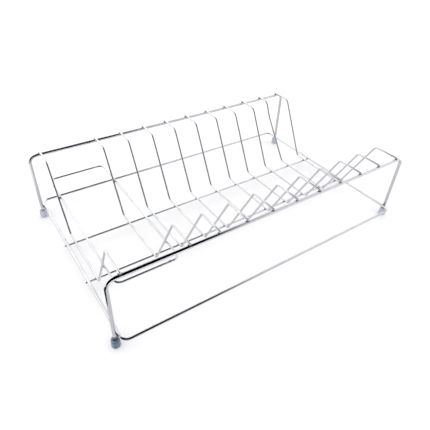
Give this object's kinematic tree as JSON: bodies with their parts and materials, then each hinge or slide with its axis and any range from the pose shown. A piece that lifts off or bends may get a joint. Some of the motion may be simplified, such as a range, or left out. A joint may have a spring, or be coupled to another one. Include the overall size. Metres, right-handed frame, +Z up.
{
  "type": "dish drying rack",
  "caption": "Welded chromed wire dish rack with upright rib slots for plates, a wide end bay with a basket loop, and capped feet.",
  "frame": {"origin": "on the resting plane, under the middle of the rack's bounding box", "axes": "+X along the rack, with the wide basket bay at the -X end; -Y is the front, where the ribs rise steeply; +Z up"},
  "size_m": [0.497, 0.3168, 0.1151],
  "materials": {
    "chrome_wire": "bright polished plating",
    "foot_plastic": "smooth, slightly translucent"
  },
  "bodies": {
    "root": {"front_frame": "chrome_wire", "back_frame": "chrome_wire", "base_ring": "chrome_wire", "heel_rail": "chrome_wire", "toe_rail": "chrome_wire", "rib_01": "chrome_wire", "rib_02": "chrome_wire", "rib_03": "chrome_wire", "rib_04": "chrome_wire", "rib_05": "chrome_wire", "rib_06": "chrome_wire", "rib_07": "chrome_wire", "rib_08": "chrome_wire", "rib_09": "chrome_wire", "rib_10": "chrome_wire", "rib_11": "chrome_wire", "basket_loop": "chrome_wire", "foot_front_left": "foot_plastic", "foot_front_right": "foot_plastic", "foot_back_left": "foot_plastic", "foot_back_right": "foot_plastic"}
  },
  "joints": []
}
